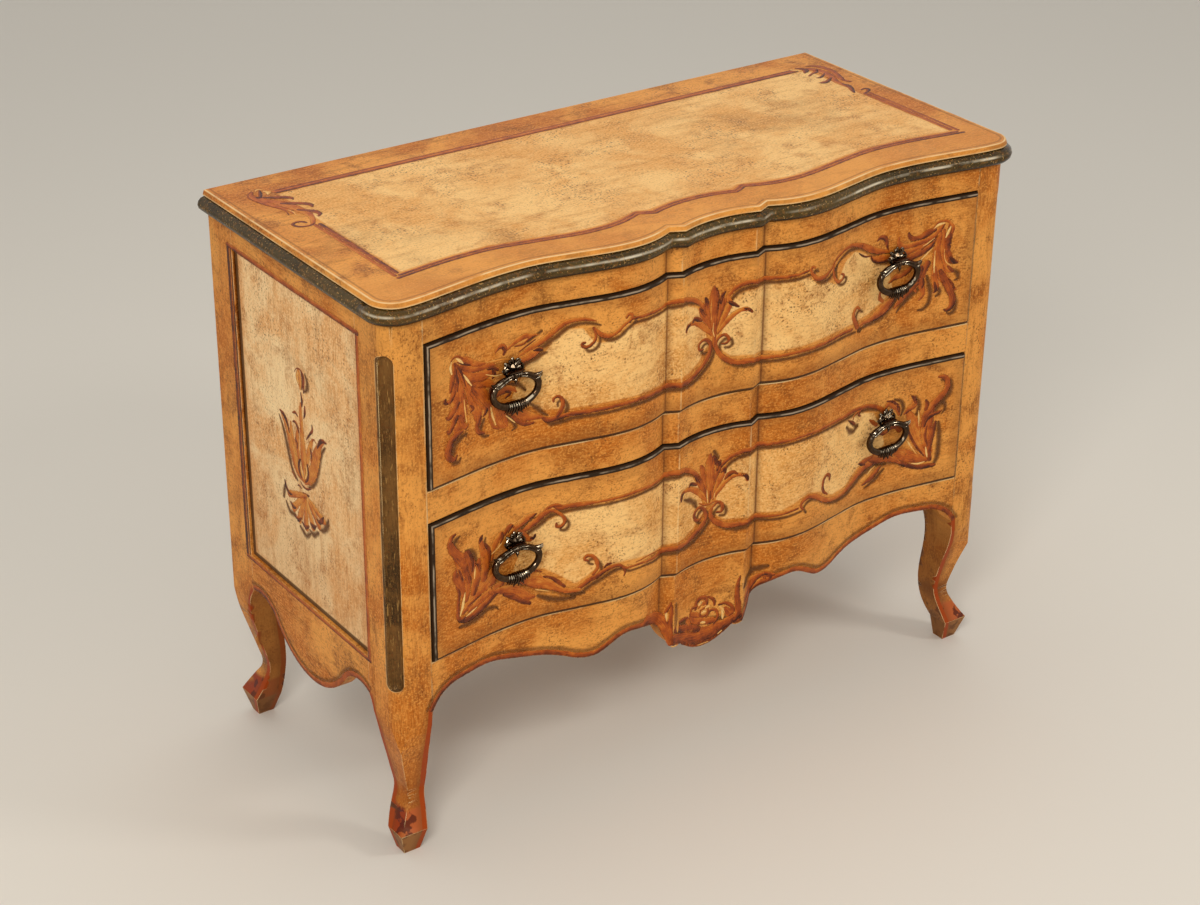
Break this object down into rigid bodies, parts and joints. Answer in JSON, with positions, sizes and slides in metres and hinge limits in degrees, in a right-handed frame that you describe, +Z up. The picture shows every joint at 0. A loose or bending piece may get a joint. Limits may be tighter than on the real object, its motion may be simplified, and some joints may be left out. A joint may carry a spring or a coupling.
{
  "type": "chest of drawers",
  "caption": "Two-drawer commode with a stepped serpentine front, rounded fluted corners, scrolled aprons, cabriole legs and swinging drop handles.",
  "frame": {"origin": "on the floor under the middle of the whole chest", "axes": "+X to the right seen from the front, +Y from the front to the back, +Z up"},
  "size_m": [1.154, 0.525, 0.9],
  "materials": {
    "painted_frame": "ochre distressed paint with red-brown lines, worn at the edges",
    "painted_top": "mottled cream field in an ochre border with a red-brown line",
    "painted_drawers": "ochre border and cream field with painted red-brown scrollwork",
    "painted_panels": "mottled cream with a painted flower",
    "dark_moulding": "near-black green-brown, rubbed through on the high places",
    "bare_wood": "unpainted secondary wood",
    "bronze": "dark antique bronze, rubbed bright on the edges",
    "iron": "dark oxidised iron"
  },
  "bodies": {
    "case": {"apron_front": "painted_frame", "apron_side_left": "painted_frame", "apron_side_right": "painted_frame", "drawer_stops": "bare_wood", "glue_blocks": "bare_wood", "guide_lower_left": "bare_wood", "guide_lower_right": "bare_wood", "guide_upper_left": "bare_wood", "guide_upper_right": "bare_wood", "kicker_left": "bare_wood", "kicker_right": "bare_wood", "moulding_front": "dark_moulding", "moulding_left": "dark_moulding", "moulding_right": "dark_moulding", "panel_back": "bare_wood", "panel_side_left": "painted_panels", "panel_side_right": "painted_panels", "post_back_left": "painted_frame", "post_back_right": "painted_frame", "post_front_left": "painted_frame", "post_front_right": "painted_frame", "rail_back_bottom": "bare_wood", "rail_back_top": "bare_wood", "rail_front_middle": "painted_frame", "rail_front_top": "painted_frame", "rail_side_top_left": "painted_frame", "rail_side_top_right": "painted_frame", "runner_lower_left": "bare_wood", "runner_lower_right": "bare_wood", "runner_upper_left": "bare_wood", "runner_upper_right": "bare_wood", "top_board": "painted_top"},
    "upper_drawer": {"upper_drawer_back": "bare_wood", "upper_drawer_bottom": "bare_wood", "upper_drawer_front": "painted_drawers", "upper_drawer_nuts": "iron", "upper_drawer_side_left": "bare_wood", "upper_drawer_side_right": "bare_wood", "upper_pull_post_left": "bronze", "upper_pull_post_right": "bronze"},
    "lower_drawer": {"lower_drawer_back": "bare_wood", "lower_drawer_bottom": "bare_wood", "lower_drawer_front": "painted_drawers", "lower_drawer_nuts": "iron", "lower_drawer_side_left": "bare_wood", "lower_drawer_side_right": "bare_wood", "lower_pull_post_left": "bronze", "lower_pull_post_right": "bronze"},
    "upper_bail_left_ring": {"upper_bail_left": "bronze"},
    "upper_bail_right_ring": {"upper_bail_right": "bronze"},
    "lower_bail_left_ring": {"lower_bail_left": "bronze"},
    "lower_bail_right_ring": {"lower_bail_right": "bronze"}
  },
  "joints": [
    {"name": "upper_drawer_slide", "type": "slide", "parent": "case", "child": "upper_drawer", "axis": [0, -1, 0], "range_m": [0, 0.35]},
    {"name": "lower_drawer_slide", "type": "slide", "parent": "case", "child": "lower_drawer", "axis": [0, -1, 0], "range_m": [0, 0.35]},
    {"name": "upper_bail_left_swing", "type": "hinge", "parent": "upper_drawer", "child": "upper_bail_left_ring", "pos_m": [-0.352, -0.23685, 0.74], "axis": [-1, 0, 0], "range_deg": [0, 100]},
    {"name": "upper_bail_right_swing", "type": "hinge", "parent": "upper_drawer", "child": "upper_bail_right_ring", "pos_m": [0.352, -0.23685, 0.74], "axis": [-1, 0, 0], "range_deg": [0, 100]},
    {"name": "lower_bail_left_swing", "type": "hinge", "parent": "lower_drawer", "child": "lower_bail_left_ring", "pos_m": [-0.352, -0.23685, 0.464], "axis": [-1, 0, 0], "range_deg": [0, 100]},
    {"name": "lower_bail_right_swing", "type": "hinge", "parent": "lower_drawer", "child": "lower_bail_right_ring", "pos_m": [0.352, -0.23685, 0.464], "axis": [-1, 0, 0], "range_deg": [0, 100]}
  ]
}
